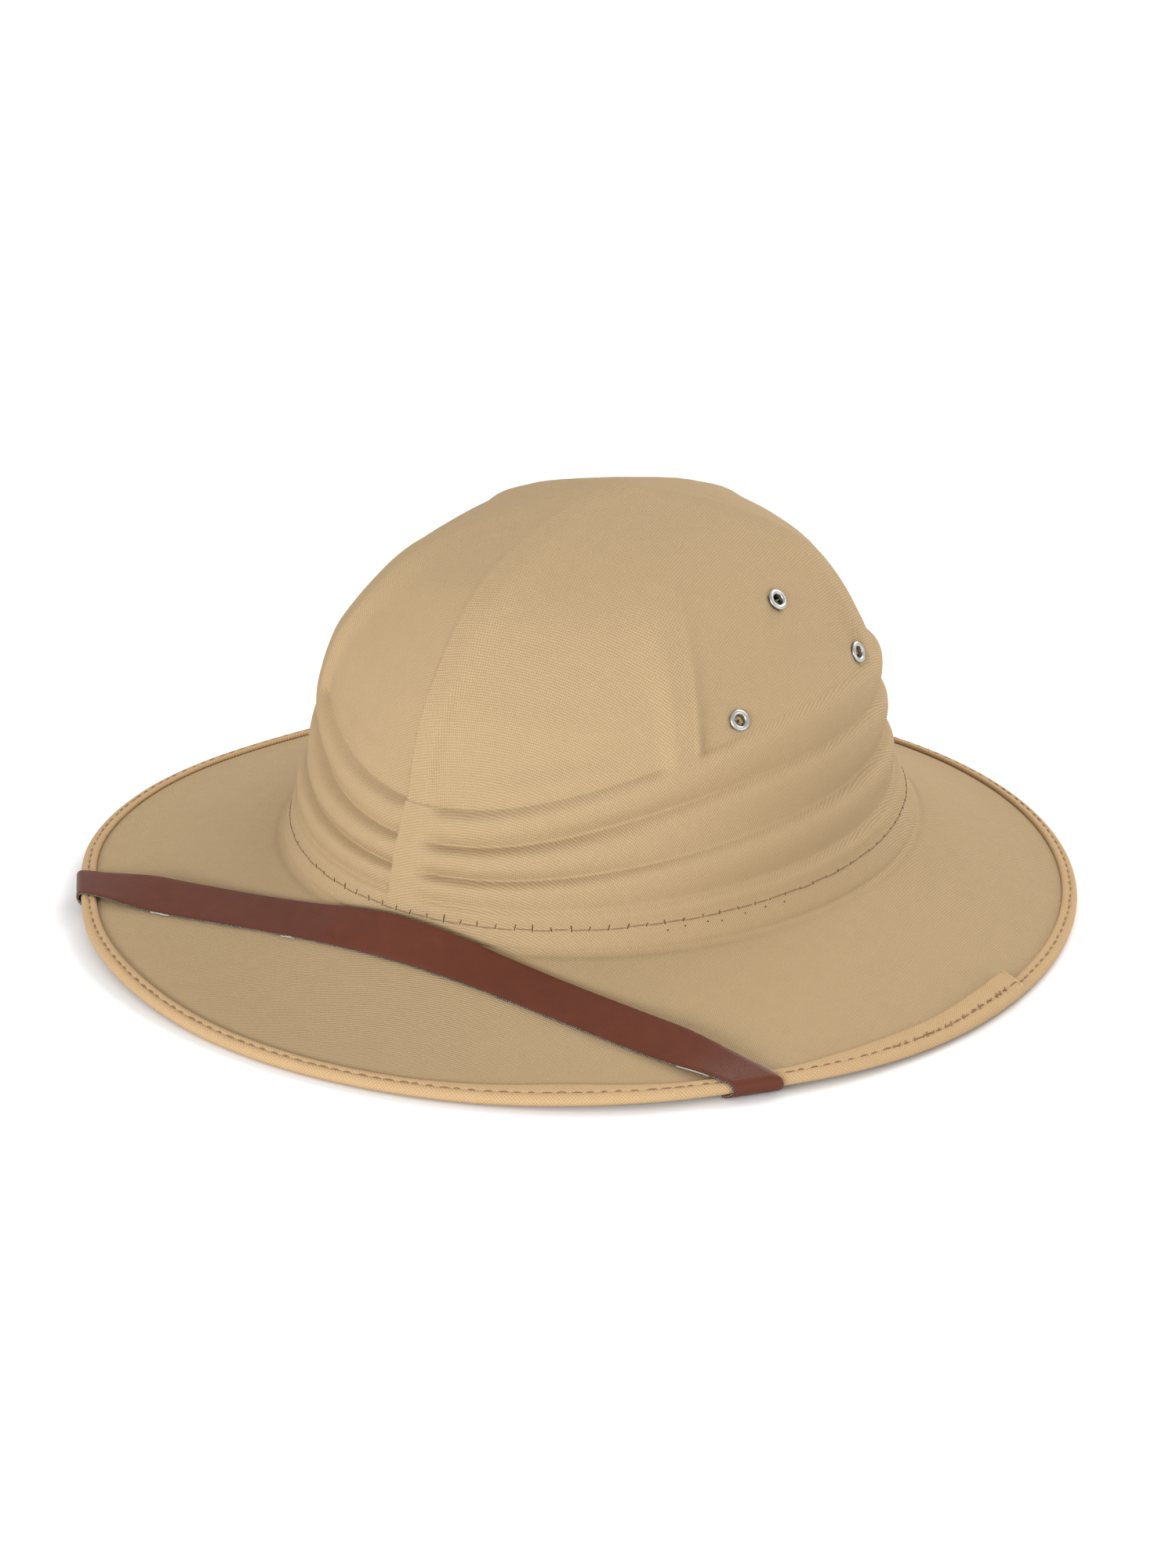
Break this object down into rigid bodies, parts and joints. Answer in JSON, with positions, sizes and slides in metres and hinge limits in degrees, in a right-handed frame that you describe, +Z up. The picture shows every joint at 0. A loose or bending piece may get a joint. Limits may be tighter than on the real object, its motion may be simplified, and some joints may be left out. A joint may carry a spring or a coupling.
{
  "type": "safari hat",
  "caption": "Moulded cloth safari hat with a ribbed crown, folded puggaree, bound brim, vent eyelets and a strap over the brim.",
  "frame": {"origin": "under the middle of the brim, on the surface that the brim rests on", "axes": "+Z up, -Y to the front of the hat, +X to the wearer's left"},
  "size_m": [0.3196, 0.3218, 0.1388],
  "materials": {
    "cloth": "matt twill",
    "tape": "matt bias tape",
    "strap": "satin",
    "eyelet": "bright nickel plate"
  },
  "bodies": {
    "root": {"shell": "cloth", "brim_binding": "tape", "chin_strap": "strap", "eyelet_left_1": "eyelet", "eyelet_left_2": "eyelet", "eyelet_left_3": "eyelet", "eyelet_right_1": "eyelet", "eyelet_right_2": "eyelet", "eyelet_right_3": "eyelet"}
  },
  "joints": []
}
